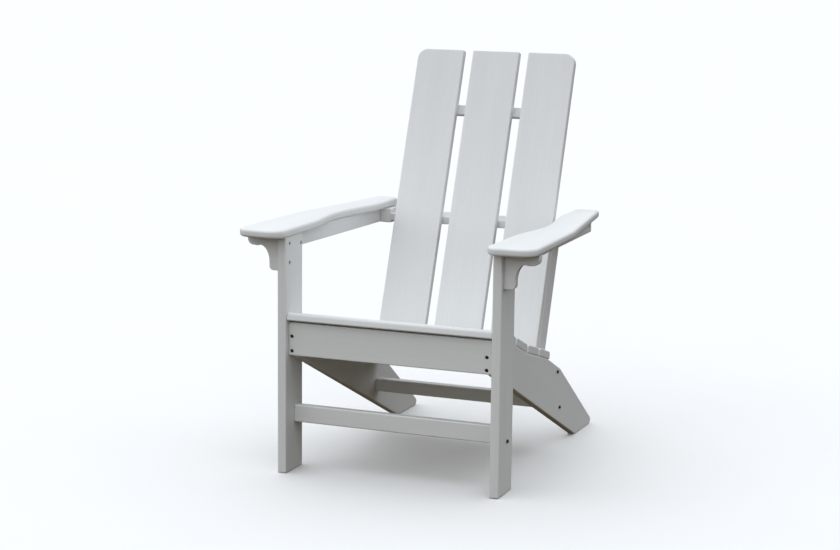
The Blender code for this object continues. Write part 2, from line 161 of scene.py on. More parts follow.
def lumber_patterns(tree):
    """One noise for each pattern and the two marks of the surface, by name."""
    at = add_node(tree, "ShaderNodeAttribute", attribute_name="board_at").outputs["Vector"]
    found = {}
    for name, (along, across, out, detail, roughness) in PATTERNS.items():
        sized = add_node(tree, "ShaderNodeVectorMath",
                         {0: at, 1: (1 / along, 1 / across, 1 / out)}, operation="MULTIPLY")
        found[name] = add_node(tree, "ShaderNodeTexNoise",
                               {"Vector": sized.outputs["Vector"], "Scale": 1.0,
                                "Detail": detail, "Roughness": roughness}).outputs["Fac"]
    for name in ("rubbed", "sawn"):
        found[name] = add_node(tree, "ShaderNodeAttribute", attribute_name=name).outputs["Fac"]
    return found


print("patterns:", ", ".join(PATTERNS))


# %% Colour: lines, painted sheen streaks, darker saw cuts, and a painted highlight on the routed edges
def lumber_colour(tree, found, base_hex, line_hex):
    tint = add_node(tree, "ShaderNodeMapRange",
                    {"Value": found["lines"], "From Min": 0.30, "From Max": 0.75})
    # a Mix node's colour sockets share their names with number sockets: 6 and 7 are A and B
    colour = add_node(tree, "ShaderNodeMix",
                      {"Factor": tint.outputs["Result"], 6: linear(line_hex),
                       7: linear(base_hex)}, data_type="RGBA").outputs[2]
    # painted sheen: broad streaks along the board make the colour a little lighter and darker,
    # standing in for the soft reflection of the surroundings
    shade = add_node(tree, "ShaderNodeMapRange",
                     {"Value": found["bands"], "From Min": 0.28, "From Max": 0.72,
                      "To Min": 0.960, "To Max": 1.008}).outputs["Result"]
    mottle = add_node(tree, "ShaderNodeMapRange",
                      {"Value": found["speckle"], "From Min": 0.3, "From Max": 0.7,
                       "To Min": -0.010, "To Max": 0.010}).outputs["Result"]
    shade = add_node(tree, "ShaderNodeMath", {0: shade, 1: mottle}).outputs["Value"]
    dull_end = add_node(tree, "ShaderNodeMath", {0: found["sawn"], 1: -0.045, 2: 1.0},
                        operation="MULTIPLY_ADD").outputs["Value"]
    shade = add_node(tree, "ShaderNodeMath", {0: shade, 1: dull_end},
                     operation="MULTIPLY").outputs["Value"]
    # painted highlight: the routed edges are made 5% lighter, for the bright lines that light
    # draws along rounded edges
    shade = add_node(tree, "ShaderNodeMath", {0: found["rubbed"], 1: 0.05, 2: shade},
                     operation="MULTIPLY_ADD").outputs["Value"]
    return add_node(tree, "ShaderNodeVectorMath", {0: colour, "Scale": shade},
                    operation="SCALE").outputs["Vector"]


print("the bands change the colour by", round(1.008 - 0.960, 3), "of its value")


# %% Sheen and relief: routed edges are smoother, saw cuts rougher
RELIEF = 0.00025          # depth of the brushed lines and the tooth, in metres
RELIEF_STRENGTH = 0.12


def lumber_roughness(tree, found):
    rough = add_node(tree, "ShaderNodeMapRange",
                     {"Value": found["lines"], "From Min": 0.3, "From Max": 0.7,
                      "To Min": 0.56, "To Max": 0.49}).outputs["Result"]
    rough = add_node(tree, "ShaderNodeMath", {0: found["rubbed"], 1: -0.10, 2: rough},
                     operation="MULTIPLY_ADD").outputs["Value"]
    return add_node(tree, "ShaderNodeMath", {0: found["sawn"], 1: 0.18, 2: rough},
                    operation="MULTIPLY_ADD", use_clamp=True).outputs["Value"]


def lumber_relief(tree, found):
    skin = add_node(tree, "ShaderNodeMath", {0: found["tooth"], 1: 0.45, 2: found["lines"]},
                    operation="MULTIPLY_ADD").outputs["Value"]
    height = add_node(tree, "ShaderNodeMix",
                      {"Factor": found["sawn"], "A": skin, "B": found["saw"]}).outputs[0]
    calm = add_node(tree, "ShaderNodeMath", {0: found["rubbed"], 1: -0.75, 2: 1.0},
                    operation="MULTIPLY_ADD", use_clamp=True).outputs["Value"]
    strength = add_node(tree, "ShaderNodeMath", {0: calm, 1: RELIEF_STRENGTH},
                        operation="MULTIPLY").outputs["Value"]
    return add_node(tree, "ShaderNodeBump", {"Height": height, "Distance": RELIEF,
                                             "Strength": strength}).outputs["Normal"]


print(f"relief: {1000 * RELIEF} mm deep")


# %% The lumber's material
def hdpe_lumber(name, base_hex, line_hex):
    made, tree, shader = new_material(name)
    found = lumber_patterns(tree)
    for socket, output in (("Base Color", lumber_colour(tree, found, base_hex, line_hex)),
                           ("Roughness", lumber_roughness(tree, found)),
                           ("Normal", lumber_relief(tree, found))):
        tree.links.new(output, shader.inputs[socket])
    shader.inputs["IOR"].default_value = 1.54
    shader.inputs["Specular IOR Level"].default_value = 0.42
    return made


LUMBER = hdpe_lumber("textured_HDPE_lumber", "ebecec", "e7e8e8")
print("made", LUMBER.name, "with", len(LUMBER.node_tree.nodes), "nodes")

# %% [markdown]
# ## Oxidised stainless screws
#
# The screws are cold-formed stainless steel. Outdoors their heads lose their shine: a thin
# brown film forms in small patches, and the eye sees a dark dot with a dull glint. A metal's
# colour is its reflection, so the film is drawn as a darker colour and a higher roughness.


# %% The screws' material
FILM_SCALE = 900.0        # per metre, for patches of film a millimetre wide


def oxidised_stainless(name):
    made, tree, shader = new_material(name)
    at = add_node(tree, "ShaderNodeTexCoord").outputs["Object"]
    film = add_node(tree, "ShaderNodeTexNoise",
                    {"Vector": at, "Scale": FILM_SCALE, "Detail": 3.0}).outputs["Fac"]
    film = add_node(tree, "ShaderNodeMapRange",
                    {"Value": film, "From Min": 0.38, "From Max": 0.62}).outputs["Result"]
    colour = add_node(tree, "ShaderNodeMix", {"Factor": film, 6: linear("5a4e43"),
                                              7: linear("3a312a")}, data_type="RGBA")
    tree.links.new(colour.outputs[2], shader.inputs["Base Color"])
    rough = add_node(tree, "ShaderNodeMapRange",
                     {"Value": film, "To Min": 0.35, "To Max": 0.65}).outputs["Result"]
    tree.links.new(rough, shader.inputs["Roughness"])
    shader.inputs["Metallic"].default_value = 0.85
    return made


SCREW_STEEL = oxidised_stainless("oxidised_stainless_steel")
print("made", SCREW_STEEL.name, "with", len(SCREW_STEEL.node_tree.nodes), "nodes")

# %% [markdown]
# ## Meshes and objects
#
# A mesh shows only when an object in the scene carries it. Modifiers work on the object and
# leave its mesh as it was, so the finished shape is read back from the evaluated object.
# Every finished piece then rides the chair's one body and replaces its CAD nodes, which
# are hidden.


# %% Objects from meshes, and meshes from objects
def in_scene(name, mesh):
    made = bpy.data.objects.new(name, mesh)
    bpy.context.scene.collection.objects.link(made)
    return made


def object_from_bmesh(name, form):
    mesh = bpy.data.meshes.new(name)
    form.to_mesh(mesh)
    form.free()
    return in_scene(name, mesh)


def cut_out(piece, cutter):
    """Cuts one closed shape out of another with a Boolean modifier."""
    cut = piece.modifiers.new("cut", "BOOLEAN")
    cut.operation = "DIFFERENCE"
    cut.solver = "EXACT"
    cut.object = cutter


def finished_mesh(piece, *helpers):
    """The mesh after all modifiers. The object and its helpers are then removed."""
    ready = piece.evaluated_get(bpy.context.evaluated_depsgraph_get())
    mesh = bpy.data.meshes.new_from_object(ready)
    for spare in (piece, *helpers):
        bpy.data.objects.remove(spare)
    return mesh


# %% Numbers out of a mesh and into it
def store(mesh, name, kind, domain, values):
    """Stores one value for each point, face or corner of a mesh."""
    layer = mesh.attributes.new(name, kind, domain)
    key = "vector" if kind == "FLOAT_VECTOR" else "value"
    layer.data.foreach_set(key, np.asarray(values, np.float32).ravel())


def values_of(items, key, width, kind=np.float32):
    """Numbers of one property of all mesh items, as rows."""
    flat = np.empty(len(items) * width, kind)
    items.foreach_get(key, flat)
    return flat.reshape(-1, width) if width > 1 else flat


print("mesh helpers ready")

# %% [markdown]
# ## Outlines
#
# A board is an outline and a thickness. The outlines are polygons whose corners carry a
# radius: `filleted` swaps each such corner for an arc, as a jigsaw would round it.


# %% Outline tools
def filleted(corners, steps=10):
    """Polygon whose corners (u, v, radius) are replaced by arcs."""
    outline = []
    count = len(corners)
    for index, (u, v, radius) in enumerate(corners):
        here = Vector((u, v))
        if radius == 0:
            outline.append((u, v))
            continue
        before = (Vector(corners[index - 1][:2]) - here).normalized()
        after = (Vector(corners[(index + 1) % count][:2]) - here).normalized()
        half = before.angle(after) / 2
        centre = here + (before + after).normalized() * radius / math.sin(half)
        start = here + before * radius / math.tan(half) - centre
        end = here + after * radius / math.tan(half) - centre
        turn = start.angle_signed(end)
        for step in range(steps + 1):
            spoke = start.copy()
            spoke.rotate(Matrix.Rotation(-turn * step / steps, 2))
            outline.append(tuple(centre + spoke))
    return outline


def rectangle(u_from, u_to, v_from, v_to):
    """The four corners of a rectangle."""
    return [(u_from, v_from), (u_to, v_from), (u_to, v_to), (u_from, v_to)]


def area(outline):
    """Signed area of a polygon: positive when it runs anticlockwise."""
    ends = zip(outline, outline[1:] + outline[:1])
    return sum(a[0] * b[1] - b[0] * a[1] for a, b in ends) / 2


rounded_square = filleted([(0, 0, 0.1), (1, 0, 0.1), (1, 1, 0.1), (0, 1, 0.1)])
print(f"a rounded square has {len(rounded_square)} points and an area of "
      f"{area(rounded_square):.4f}")

# %% [markdown]
# ## The board tree
#
# Every board follows the same rule: an outline is sawn through a thickness of stock. They
# could be drawn one by one with bmesh, but a Geometry Nodes tree states the rule once: it
# fills the outline, extrudes it by the thickness, closes the bottom and turns the board to
# its place. Thickness, place and turn are the tree's named inputs.


# %% A Geometry Nodes tree with named inputs
def new_tree(name, inputs, output):
    """An empty tree. Inputs are (name, kind) pairs, and the output is a geometry."""
    tree = bpy.data.node_groups.new(name, "GeometryNodeTree")
    for label, kind in inputs:
        tree.interface.new_socket(name=label, in_out="INPUT", socket_type="NodeSocket" + kind)
    tree.interface.new_socket(name=output, in_out="OUTPUT", socket_type="NodeSocketGeometry")
    return tree


def use_tree(piece, tree, **inputs):
    """Adds the tree as a modifier and sets its inputs by their sockets' identifiers."""
    modifier = piece.modifiers.new(tree.name, "NODES")
    modifier.node_group = tree
    for item in tree.interface.items_tree:
        if item.name in inputs:
            modifier[item.identifier] = inputs[item.name]


print("node trees so far:", len(bpy.data.node_groups))


# %% From an outline to a board
WELD = 0.00002


def board_tree():
    tree = new_tree("board_from_outline",
                    (("Outline", "Geometry"), ("Thickness", "Float"), ("Place", "Vector"),
                     ("Turn", "Rotation"), ("Lumber", "Material")), "Board")
    given = add_node(tree, "NodeGroupInput").outputs
    curve = add_node(tree, "GeometryNodeMeshToCurve", {"Mesh": given["Outline"]})
    face = add_node(tree, "GeometryNodeFillCurve", {"Curve": curve.outputs["Curve"]},
                    mode="NGONS").outputs["Mesh"]
    rise = add_node(tree, "ShaderNodeCombineXYZ", {"Z": given["Thickness"]}).outputs["Vector"]
    sides = add_node(tree, "GeometryNodeExtrudeMesh",
                     {"Mesh": face, "Offset": rise, "Offset Scale": 1.0, "Individual": False},
                     mode="FACES").outputs["Mesh"]
    bottom = add_node(tree, "GeometryNodeFlipFaces", {"Mesh": face}).outputs["Mesh"]
    closed = add_node(tree, "GeometryNodeJoinGeometry")
    tree.links.new(sides, closed.inputs["Geometry"])
    tree.links.new(bottom, closed.inputs["Geometry"])
    welded = add_node(tree, "GeometryNodeMergeByDistance",
                      {"Geometry": closed.outputs["Geometry"], "Distance": WELD})
    placed = add_node(tree, "GeometryNodeTransform",
                      {"Geometry": welded.outputs["Geometry"], "Translation": given["Place"],
                       "Rotation": given["Turn"]})
    real = add_node(tree, "GeometryNodeRealizeInstances",
                    {"Geometry": placed.outputs["Geometry"]})
    finished = add_node(tree, "GeometryNodeSetMaterial",
                        {"Geometry": real.outputs["Geometry"], "Material": given["Lumber"]})
    add_node(tree, "NodeGroupOutput", {"Board": finished.outputs["Geometry"]})
    return tree


BOARD_TREE = board_tree()
print("the board tree has", len(BOARD_TREE.nodes), "nodes")

# %% [markdown]
# ## Where the boards meet
#
# A screw's place follows from the two boards that it joins, and each screw needs a recess in
# a board before that board is finished. So the places of the joints come first. The back
# leans, so its boards are measured up the slats from the floor and out behind their front.


# %% The leaning back
BACK_RAKE = math.radians(20.3)
BACK_FOOT_Y = 0.348
BACK_SLAT_WIDTH = 0.125
BACK_SLAT_GAP = 0.025
BACK_PITCH = BACK_SLAT_WIDTH + BACK_SLAT_GAP
BACK_OUT = 1.5 * BACK_SLAT_WIDTH + BACK_SLAT_GAP
LOWER_RAIL_AT = 0.218
LOWER_RAIL_WIDTH = 0.068
UPPER_RAIL_AT = 0.864
UPPER_RAIL_HEIGHT = 0.026


def back_point(along, behind):
    """The (y, z) of a point up the slats from the floor line and behind their front."""
    y = BACK_FOOT_Y + along * math.sin(BACK_RAKE) + behind * math.cos(BACK_RAKE)
    z = along * math.cos(BACK_RAKE) - behind * math.sin(BACK_RAKE)
    return y, z


print("the upper rail's foot stands at (y, z) =",
      [round(value, 3) for value in back_point(UPPER_RAIL_AT, BOARD + GAP)])

# %% The middle rail
MIDDLE_RAIL_BOTTOM = 0.5305
MIDDLE_RAIL_WIDTH = 0.082
rail_top = MIDDLE_RAIL_BOTTOM + BOARD
behind_slats = (BOARD + GAP) / math.cos(BACK_RAKE)
# the rail's upper front edge just clears the rear face of the slats
RAIL_FRONT = BACK_FOOT_Y + rail_top * math.tan(BACK_RAKE) + behind_slats
print(f"the middle rail's front stands at y = {RAIL_FRONT:.3f}")

# %% The strips under the arms
SUPPORT_HEIGHT = 0.037
SUPPORT_REAR = 0.657
BLOCK_IN = BACK_OUT + 0.0205
BLOCK_OUT = BLOCK_IN + 0.028
TOP = ARM_UNDERSIDE - GAP


def support_inner_x(y):
    """Inner face of the arm support: flat on the leg, then drawn in towards the block."""
    at_leg = LEG_OUT + GAP
    at_rear = BLOCK_OUT + GAP
    share = max(0.0, (y - LEG_DEPTH) / (SUPPORT_REAR - LEG_DEPTH))
    return at_leg + (at_rear - at_leg) * share


print(f"the supports draw in from {support_inner_x(0):.3f} to {support_inner_x(SUPPORT_REAR):.3f}")

# %% [markdown]
# ## Screws and their recesses
#
# A screw is a place on a board's face and a direction that its head looks in. Most heads sit
# in a recess, a shallow bore with a small chamfer at its mouth, which a Boolean cuts from
# the board. The bolts of the stretchers and of the lower rail have taller cap heads that
# stand proud of the face.
#
# The joints need two screws through the apron into each stringer's end, two from each leg
# into its bracket and one into the arm support, one through the arm support into the middle
# rail, one through each leg into the front stretcher, one through each stringer into the
# rear stretcher and the lower rail, two from inside each stringer into its leg, and two
# through the upper rail from behind into every back slat.

# %% Screw sizes and the list of screws
HEAD_RADIUS = 0.0042
HEAD_HEIGHT = 0.0030
HEAD_RECESS = 0.0012
CAP_HEIGHT = 0.0040
PROUD = ("stretcher", "rail")
screws = {}


def add_screw(group, at, outward, board_name):
    """Lists one screw: its group, the point on the board's face, the way its head looks."""
    spot = Vector(at) + Vector((0, SHIFT, 0))
    screws.setdefault(group, []).append((spot, Vector(outward).normalized(), board_name))


print(f"heads are {2000 * HEAD_RADIUS:.1f} mm across")

# %% Places of the screws on their boards
APRON_SETBACK = 0.015
APRON_BOTTOM = 0.2834
APRON_HEIGHT = 0.0794
APRON_SCREW_INSET = {"left": 0.0080, "right": 0.0160}
APRON_SCREW_RISE = {"left": (0.58, 0.14), "right": (0.50, 0.12)}
BRACKET_SETBACK = 0.013
BRACKET_SCREW_DROPS = (0.017, 0.062)
SUPPORT_SCREW = (LEG_DEPTH - 0.0075, TOP - 0.64 * SUPPORT_HEIGHT)
SUPPORT_REAR_SCREW_Y = RAIL_FRONT + 0.8 * MIDDLE_RAIL_WIDTH
STRETCHER_SETBACK = 0.044
STRETCHER_BOTTOM = 0.1165
STRETCHER_SCREW_RISE = 0.007
REAR_STRETCHER_FOOT = (0.488, 0.0980)
REAR_STRETCHER_SCREW = (REAR_STRETCHER_FOOT[0] + 0.0174, REAR_STRETCHER_FOOT[1] + 0.0036)
LOWER_RAIL_SCREW = back_point(LOWER_RAIL_AT + 0.0130, BOARD + GAP + LOWER_RAIL_WIDTH / 2 + 0.005)
LEG_SCREW_Y = 0.078
LEG_SCREW_HEIGHTS = (0.325, 0.290)
print("the lower rail's screw goes in at", [round(value, 3) for value in LOWER_RAIL_SCREW])

# %% List the screws of the frame
for name, side in SIDES:
    inward, outward = (-side, 0, 0), (side, 0, 0)
    leg, stringer = f"front_leg_{name}", f"seat_stringer_{name}"
    support = f"arm_support_{name}"
    apron_x = side * (STRINGER_OUT - APRON_SCREW_INSET[name])
    for share in APRON_SCREW_RISE[name]:
        add_screw("apron", (apron_x, APRON_SETBACK, APRON_BOTTOM + APRON_HEIGHT * share),
                  (0, -1, 0), "seat_apron")
    for drop in BRACKET_SCREW_DROPS:
        add_screw("bracket", (side * LEG_IN, BRACKET_SETBACK + BOARD / 2, TOP - drop),
                  inward, leg)
    add_screw("support", (side * LEG_IN, *SUPPORT_SCREW), inward, leg)
    support_x = side * (support_inner_x(SUPPORT_REAR_SCREW_Y) + BOARD)
    add_screw("support", (support_x, SUPPORT_REAR_SCREW_Y, MIDDLE_RAIL_BOTTOM + BOARD / 2),
              outward, support)
    add_screw("stretcher", (side * LEG_OUT, STRETCHER_SETBACK + BOARD / 2,
                            STRETCHER_BOTTOM + STRETCHER_SCREW_RISE), outward, leg)
    add_screw("stretcher", (side * STRINGER_OUT, *REAR_STRETCHER_SCREW), outward, stringer)
    add_screw("rail", (side * STRINGER_OUT, *LOWER_RAIL_SCREW), outward, stringer)
    for height in LEG_SCREW_HEIGHTS:
        add_screw("leg", (side * STRINGER_IN, LEG_SCREW_Y, height), inward, stringer)
print({group: len(listed) for group, listed in screws.items()})

# %% List the screws of the back
rearward = (0, math.cos(BACK_RAKE), -math.sin(BACK_RAKE))
rail_middle = back_point(UPPER_RAIL_AT + UPPER_RAIL_HEIGHT / 2, BOARD + GAP + BOARD)
for step in (-1, 0, 1):
    for offset in (-0.25, 0.25):
        add_screw("back", (step * BACK_PITCH + offset * BACK_SLAT_WIDTH, *rail_middle),
                  rearward, "back_rail_upper")
print("screws in the back:", len(screws["back"]))


# %% A turned profile, for recess cutters and screw heads
def turned(profile, sides=20):
    """Mesh turned about local Z from (radius, height) steps, closed at both ends."""
    form = bmesh.new()
    rings = []
    for radius, height in profile:
        angles = [2 * math.pi * side / sides for side in range(sides)]
        rings.append([form.verts.new((radius * math.cos(a), radius * math.sin(a), height))
                      for a in angles])
    for lower, upper in zip(rings, rings[1:]):
        for side in range(sides):
            after = (side + 1) % sides
            form.faces.new((lower[side], lower[after], upper[after], upper[side]))
    form.faces.new(rings[0])
    form.faces.new(rings[-1])
    bmesh.ops.recalc_face_normals(form, faces=form.faces)
    return form


print("a disc has", len(turned([(1, 0), (1, 0.1)]).faces), "faces")


# %% The recesses of a board
RECESS_RADIUS = 0.0046
MOUTH_CHAMFER = 0.0006
ABOVE_FACE = 0.003        # how far the plug stands out of the face, for a clean cut
MOUTH_STEP = 0.00002      # keeps the chamfer's rim off the face itself


def recess_cutter(board_name):
    """One mesh with a stepped plug for every screw recess of a board, or None."""
    wanted = [(at, out) for group, listed in screws.items() for at, out, name in listed
              if name == board_name and group not in PROUD]
    if not wanted:
        return None
    mouth = RECESS_RADIUS + MOUTH_CHAMFER
    profile = [(mouth, ABOVE_FACE), (mouth, MOUTH_STEP), (RECESS_RADIUS, -MOUTH_CHAMFER),
               (RECESS_RADIUS, -HEAD_RECESS - HEAD_HEIGHT)]
    together = bmesh.new()
    for at, out in wanted:
        plug = turned(profile)
        plug.transform(Matrix.Translation(at) @ out.to_track_quat("Z", "Y").to_matrix().to_4x4())
        single = bpy.data.meshes.new("plug")
        plug.to_mesh(single)
        plug.free()
        together.from_mesh(single)
        bpy.data.meshes.remove(single)
    return object_from_bmesh("recesses", together)


print("a recess is", round(2000 * RECESS_RADIUS, 1), "mm across")

# %% [markdown]
# ## Finishing a board
#
# The tree gives the sawn shape. Three modifiers finish it: a Bevel for the routed edges, a
# Boolean for the screw recesses, and Weighted Normal so that the flat faces shade flat and
# only the rounded edges turn the light. The Bevel also gives its new faces a material slot
# of their own. That tells the routed edges from the flat faces when the attributes that the
# lumber reads are stored. After that all faces share one slot again.

# %% Directions and places
ACROSS = (1, 0, 0)
REARWARD = (0, 1, 0)
UPWARD = (0, 0, 1)


def axes(u_axis, v_axis, w_axis, origin):
    """Matrix that sends local X, Y, Z to the three axes, from the origin."""
    turned_axes = Matrix((u_axis, v_axis, w_axis)).transposed()
    return Matrix.Translation(Vector(origin) + Vector((0, SHIFT, 0))) @ turned_axes.to_4x4()


start = axes(ACROSS, REARWARD, UPWARD, (0, 0, 0)).translation
print("the outlines start at", [round(value, 3) for value in start])

# %% The attributes that the lumber reads
ROUTED_SLOT = 2
CUT_FROM, CUT_RANGE = 0.85, 0.1     # how squarely a face has to look along the board
grain_shift = random.Random(20)


def mark_surface(mesh, lengthwise, facing):
    """Stores board_at, rubbed and sawn. The axes run along the board and out of its face."""
    along = Vector(lengthwise).normalized()
    out = Vector(facing).normalized()
    board_axes = np.array((along, out.cross(along), out))
    spots = values_of(mesh.vertices, "co", 3) @ board_axes.T
    shift = np.array([grain_shift.uniform(-9, 9) for _ in range(3)])
    store(mesh, "board_at", "FLOAT_VECTOR", "POINT", spots + shift)
    squarely = np.abs((values_of(mesh.polygons, "normal", 3) @ board_axes.T)[:, 0])
    store(mesh, "sawn", "FLOAT", "FACE", np.clip((squarely - CUT_FROM) / CUT_RANGE, 0, 1))

    # the routed faces, which the lumber makes smoother and paints lighter as a highlight
    routed = values_of(mesh.polygons, "material_index", 1, np.int32) == ROUTED_SLOT
    face_of_corner = np.repeat(routed, values_of(mesh.polygons, "loop_total", 1, np.int32))
    point_of_corner = values_of(mesh.loops, "vertex_index", 1, np.int32)
    beside_flat = np.zeros(len(mesh.vertices), bool)
    beside_flat[point_of_corner[~face_of_corner]] = True
    store(mesh, "rubbed", "FLOAT", "CORNER", face_of_corner & ~beside_flat[point_of_corner])
    mesh.polygons.foreach_set("material_index", np.zeros(len(mesh.polygons), np.int32))
    mesh.materials.clear()
    mesh.materials.append(LUMBER)


print("each board's pattern is shifted by up to 9 m")

# %% Routed edges and finished pieces
EDGE = 0.0032
EDGE_STEPS = 5
SHARP = math.radians(40)  # a corner turns more than this, an arc's step turns less


def rout(piece, width):
    """Rounds the edges, and marks the new faces with their own material slot."""
    routed = piece.modifiers.new("routed edges", "BEVEL")
    routed.width = width
    routed.segments = EDGE_STEPS
    routed.limit_method = "ANGLE"
    routed.angle_limit = SHARP
    routed.material = ROUTED_SLOT


def finish_piece(name, mesh, slot, *nodes):
    """Puts a finished mesh in the scene in the place of its CAD nodes."""
    piece = in_scene(name, mesh)
    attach(piece, "root")
    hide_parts(*nodes)
    return piece


print(f"edges are rounded to {1000 * EDGE:.1f} mm")


# %% From an outline to a finished board
def board(name, outline, thickness, place, lengthwise, facing, edge=EDGE):
    """Makes one board in the place of the CAD node with the same name."""
    if area(outline) < 0:
        outline = outline[::-1]
    count = len(outline)
    mesh = bpy.data.meshes.new(name + "_outline")
    mesh.from_pydata([(u, v, 0) for u, v in outline],
                     [(i, (i + 1) % count) for i in range(count)], [])
    for _ in range(ROUTED_SLOT + 1):
        mesh.materials.append(LUMBER)
    cut_board = in_scene(name + "_outline", mesh)
    use_tree(cut_board, BOARD_TREE, Thickness=thickness, Place=tuple(place.translation),
             Turn=tuple(place.to_euler()), Lumber=LUMBER)
    rout(cut_board, edge)
    cutter = recess_cutter(name)
    if cutter:
        cut_out(cut_board, cutter)
    cut_board.modifiers.new("flat faces", "WEIGHTED_NORMAL")
    final = finished_mesh(cut_board, *([cutter] if cutter else []))
    mark_surface(final, lengthwise, facing)
    return finish_piece(name + "_board", final, "lumber", name)


def board_along_x(name, section, x_from, x_to, lengthwise, facing):
    """A board drawn in side view, (y, z), between two places across the chair."""
    place = axes(REARWARD, UPWARD, ACROSS, (x_from, 0, 0))
    return board(name, section, x_to - x_from, place, lengthwise, facing)


print("screw recesses will be cut in:",
      sorted({name for group in screws if group not in PROUD for *_, name in screws[group]}))

# %% [markdown]
# ## Seat
#
# Five slats run across the stringers in a shallow hollow: each one slopes a little more or
# less than the one before it. The front and rear slats have a large rounded nose where the
# knees and the back bend over them. The slats are drawn in side view and pushed across the
# chair, which is simpler than turning five boxes.


# %% The hollow of the seat
SEAT_FRONT = (0.006, 0.389)
SEAT_SLAT_WIDTH = 0.082
SEAT_SLAT_GAP = 0.008
SEAT_SLOPES = (12, 19, 22, 16, 17)


def seat_chain():
    """Upper front corner, run direction and upward normal of each seat slat, in (y, z)."""
    chain = []
    corner = Vector(SEAT_FRONT)
    for index, slope in enumerate(SEAT_SLOPES):
        angle = math.radians(slope)
        run = Vector((math.cos(angle), -math.sin(angle)))
        chain.append((corner.copy(), run, Vector((math.sin(angle), math.cos(angle)))))
        after = SEAT_SLOPES[min(index + 1, len(SEAT_SLOPES) - 1)]
        between = math.radians((slope + after) / 2)
        step = Vector((math.cos(between), -math.sin(between))) * SEAT_SLAT_GAP
        corner = corner + run * SEAT_SLAT_WIDTH + step
    return chain


print("the seat falls from", SEAT_FRONT[1], "to", round(seat_chain()[-1][0].y, 3))

# %% Seat slats
NOSE = 0.009
SEAT_ROUND = 0.006
SEAT_UNDER_ROUND = 0.0036
last = len(SEAT_SLOPES) - 1
for index, (corner, run, normal) in enumerate(seat_chain()):
    under = corner - normal * BOARD
    far = under + run * SEAT_SLAT_WIDTH
    top_far = far + normal * BOARD
    front = NOSE if index == 0 else SEAT_ROUND
    rear = NOSE if index == last else SEAT_ROUND
    section = [(*under, SEAT_UNDER_ROUND), (*far, SEAT_UNDER_ROUND),
               (*top_far, rear), (*corner, front)]
    slat = board_along_x(f"seat_slat_{index + 1}", filleted(section), -STRINGER_OUT,
                         STRINGER_OUT, ACROSS, (0, *normal))
print("last seat slat:", len(slat.data.polygons), "faces")

# %% [markdown]
# ## Stringers
#
# The two stringers carry everything. Each starts behind the apron, is cut straight under
# each seat slat, and runs down to the floor as the rear leg. The underside is one straight
# saw cut, the heel is cut flat for the floor and its rear point is rounded.

# %% Stringers
STRINGER_FRONT = APRON_SETBACK + BOARD + GAP
UNDERSIDE_SLOPE = math.radians(24.5)
HEEL_FRONT_Y = 0.643
HEEL_SLOPE = math.radians(34.92)
HEEL_KINK = (0.512, 0.1983)
HEEL_ROUND = 0.010


def stringer_outline():
    """Side view of a stringer, (y, z), from its underside round by the heel and the seat."""
    front_height = (HEEL_FRONT_Y - STRINGER_FRONT) * math.tan(UNDERSIDE_SLOPE)
    kink_y, kink_z = HEEL_KINK
    heel_rear = kink_y + kink_z / math.tan(HEEL_SLOPE)
    outline = [(STRINGER_FRONT, front_height, 0), (HEEL_FRONT_Y, 0, 0),
               (heel_rear, 0, HEEL_ROUND), (kink_y, kink_z, 0)]
    for index, (corner, run, normal) in reversed(list(enumerate(seat_chain()))):
        front = corner - normal * (BOARD + GAP)
        rear = front + run * SEAT_SLAT_WIDTH
        if index == 0:
            front = front + run * (STRINGER_FRONT - front.x) / run.x
        outline += [(*rear, 0), (*front, 0)]
    return filleted(outline)


down_the_stringer = (0, math.cos(UNDERSIDE_SLOPE), -math.sin(UNDERSIDE_SLOPE))
for name, side in SIDES:
    x_from = -STRINGER_OUT if side < 0 else STRINGER_IN
    piece = board_along_x(f"seat_stringer_{name}", stringer_outline(), x_from, x_from + BOARD,
                          down_the_stringer, ACROSS)
print("stringer:", len(piece.data.polygons), "faces")

# %% [markdown]
# ## Cross members and front legs
#
# The apron closes the seat's front between the legs, and the front stretcher ties the legs
# low down. A stouter stretcher ties the stringers near the heels. The legs are plain
# upright boards, sawn at the top to the slight fall of the arms. All are rectangles in side
# view, so the same push across the chair makes them.

# %% Cross members
STRETCHER_HEIGHT = 0.042
REAR_STRETCHER_HEIGHT = 0.033
REAR_STRETCHER_DEPTH = 0.026
between_legs = LEG_IN - GAP
between_stringers = STRINGER_IN - GAP
rear_y, rear_z = REAR_STRETCHER_FOOT
for name, reach, y, z, depth, height in (
        ("seat_apron", between_legs, APRON_SETBACK, APRON_BOTTOM, BOARD, APRON_HEIGHT),
        ("front_stretcher", between_legs, STRETCHER_SETBACK, STRETCHER_BOTTOM, BOARD,
         STRETCHER_HEIGHT),
        ("rear_stretcher", between_stringers, rear_y, rear_z, REAR_STRETCHER_DEPTH,
         REAR_STRETCHER_HEIGHT)):
    piece = board_along_x(name, rectangle(y, y + depth, z, z + height), -reach, reach,
                          ACROSS, REARWARD)
    print(f"{name}: {2000 * reach:.0f} mm long")

# %% Front legs
ARM_FALL = math.radians(0.42)


def arm_underside(y):
    """Height of an arm's underside, which falls a little to the rear."""
    return ARM_UNDERSIDE + (LEG_DEPTH / 2 - y) * math.tan(ARM_FALL)


leg_view = [(0, 0), (LEG_DEPTH, 0), (LEG_DEPTH, arm_underside(LEG_DEPTH) - GAP),
            (0, arm_underside(0) - GAP)]
for name, side in SIDES:
    x_from = -LEG_OUT if side < 0 else LEG_IN
    piece = board_along_x(f"front_leg_{name}", leg_view, x_from, x_from + LEG_BOARD,
                          UPWARD, ACROSS)
print("front leg:", len(piece.data.polygons), "faces")

# %% [markdown]
# ## Back
#
# Three wide slats lean back together. The outer two have a rounded outer corner at the top.
# A narrow rail behind them holds their heads in line, a flat rail at arm height carries
# them between the arms, and a low rail stands between the stringers. Two posts behind the
# outer slats join the low rail to the middle one. The slats are drawn flat, seen from the
# front, and laid on the leaning plane. The rails are drawn in side view.

